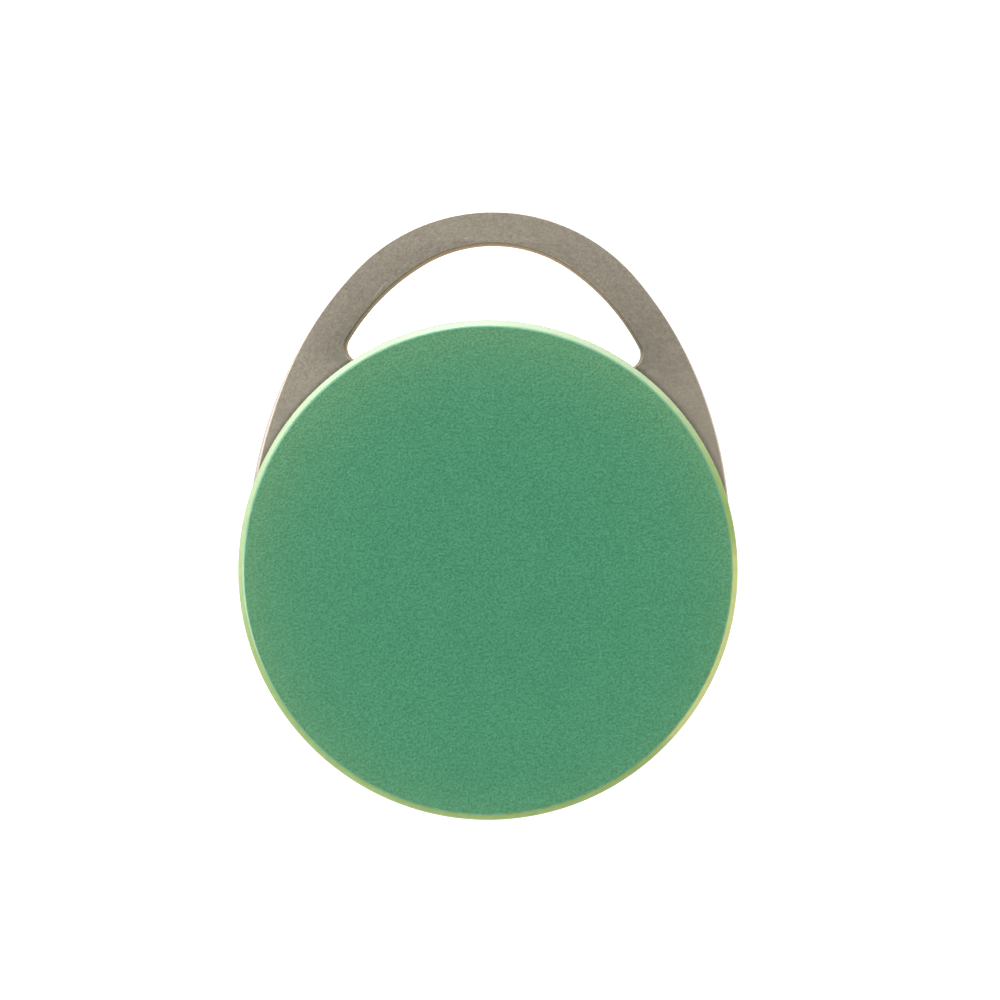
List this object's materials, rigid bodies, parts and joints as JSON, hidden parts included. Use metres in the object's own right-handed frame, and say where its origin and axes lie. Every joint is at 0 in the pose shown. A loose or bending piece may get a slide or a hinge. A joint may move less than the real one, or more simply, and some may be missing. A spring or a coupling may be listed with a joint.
{
  "type": "bluetooth tracker tag",
  "caption": "Round coin-cell tracker tag with a pressable front, a flat steel key loop and a battery door in the back.",
  "frame": {"origin": "on the axis of the round case, at its back face", "axes": "+Z out of the round front face, +Y towards the key loop, +X to the right as seen from the front"},
  "size_m": [0.032, 0.0395, 0.008],
  "materials": {
    "green_shell": "fine moulded grain",
    "steel_plate": "tumbled satin",
    "zinc_screw": "machined",
    "black_plastic": "moulded",
    "foam": "closed-cell foam",
    "oring_rubber": "smooth",
    "cell_steel": "nickel-plated",
    "gasket_plastic": "translucent nylon",
    "contact_metal": "gold-plated",
    "sounder_brass": "rolled",
    "white_ceramic": "fired",
    "board": "solder mask",
    "chip_black": "moulded epoxy",
    "chip_ceramic": "fired",
    "resistor_black": "glazed",
    "tantalum_yellow": "moulded epoxy",
    "ferrite": "sintered",
    "tin_cover": "tinned"
  },
  "bodies": {
    "case": {"rear_case": "green_shell", "steel_loop": "steel_plate", "loop_screws": "zinc_screw", "mid_frame": "black_plastic", "face_seal": "foam", "negative_contact": "contact_metal", "positive_contacts": "contact_metal", "pcb": "board", "pcb_screws": "zinc_screw", "radio_chip": "chip_black", "motion_sensor": "chip_black", "main_crystal": "tin_cover", "clock_crystal": "tin_cover", "chip_antenna": "white_ceramic", "capacitors": "chip_ceramic", "resistors": "resistor_black", "buffer_capacitor": "tantalum_yellow", "boost_inductor": "ferrite", "switch_base": "black_plastic", "switch_cover": "tin_cover", "piezo_springs": "contact_metal"},
    "face": {"front_cap": "green_shell", "piezo_plate": "sounder_brass", "piezo_ceramic": "white_ceramic", "switch_plunger": "black_plastic"},
    "door": {"battery_door": "green_shell", "door_oring": "oring_rubber", "battery_pad": "foam"},
    "cell": {"cell_can": "cell_steel", "cell_cap": "cell_steel", "cell_gasket": "gasket_plastic"}
  },
  "joints": [
    {"name": "face_press", "type": "slide", "parent": "case", "child": "face", "axis": [0, 0, -1], "range_m": [0, 0.00025], "stiffness_N_per_m": 1000, "springref_m": -0.001, "deforming": ["face_seal", "piezo_springs"]},
    {"name": "door_lift", "type": "slide", "parent": "case", "child": "door", "axis": [0, 0, -1], "range_m": [0, 0.014]},
    {"name": "cell_lift", "type": "slide", "parent": "case", "child": "cell", "axis": [0, 0, -1], "range_m": [0, 0.007]}
  ],
  "couplings": [
    {"joint": "cell_lift", "follows": "door_lift", "ratio": 0.5}
  ]
}
